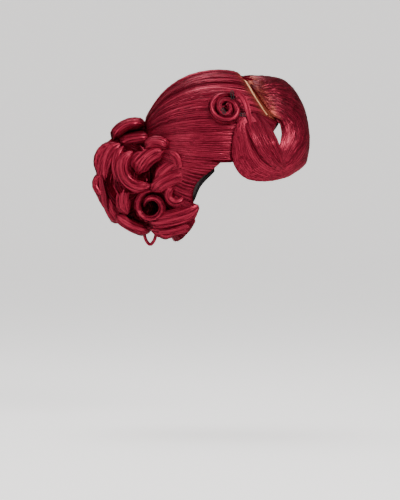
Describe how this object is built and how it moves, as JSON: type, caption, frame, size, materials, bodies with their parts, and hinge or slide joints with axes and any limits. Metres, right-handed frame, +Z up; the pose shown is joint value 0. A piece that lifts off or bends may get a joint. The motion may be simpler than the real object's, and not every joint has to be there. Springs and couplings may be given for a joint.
{
  "type": "updo wig",
  "caption": "Updo wig: open cap, hair swept back from a slanted parting, rolled front swoop, flat pin curl at the side and a chignon of pinned curls.",
  "frame": {"origin": "inner crown of the cap, where the wig sits on the top of a head", "axes": "+Z up, the face side towards -Y, the chignon towards +Y, the wearer's right towards -X"},
  "size_m": [0.1929, 0.3313, 0.2702],
  "materials": {
    "hair": "glossy burgundy synthetic fibre hair",
    "cap_net": "matt dark stretch net with weft rows",
    "elastic": "matt black ribbed elastic",
    "lace": "matt tan fine lace",
    "pins": "dark lacquered wire"
  },
  "bodies": {
    "root": {"chignon_core": "hair", "crown_hair": "hair", "curl_back_high": "hair", "curl_back_loop_high": "hair", "curl_back_loop_low": "hair", "curl_back_low": "hair", "curl_big_c": "hair", "curl_heart": "hair", "curl_left_big": "hair", "curl_left_loop": "hair", "curl_left_loop_low": "hair", "curl_left_ring": "hair", "curl_left_top": "hair", "curl_nape_small": "hair", "curl_ring": "hair", "curl_small_ear_side": "hair", "curl_top_roll": "hair", "curl_top_roll_low": "hair", "front_swoop": "hair", "hanging_loop": "hair", "lock_back_low": "hair", "lock_bottom": "hair", "lock_bright": "hair", "lock_diagonal": "hair", "lock_left_back_low": "hair", "lock_left_diagonal": "hair", "lock_left_inner": "hair", "lock_left_nape": "hair", "lock_left_nape_under": "hair", "lock_left_root": "hair", "lock_left_upright": "hair", "lock_low_inner": "hair", "lock_middle": "hair", "lock_nape_sweep": "hair", "lock_nape_under": "hair", "lock_root_high": "hair", "lock_root_low": "hair", "lock_underside": "hair", "lock_upright": "hair", "nape_band": "elastic", "nape_hair": "hair", "parting_lace": "lace", "pin_rosette": "pins", "pin_rosette_heart": "pins", "pin_swoop": "pins", "rosette_curl": "hair", "tail_curl": "hair", "temple_lock": "hair", "wig_cap": "cap_net"}
  },
  "joints": []
}
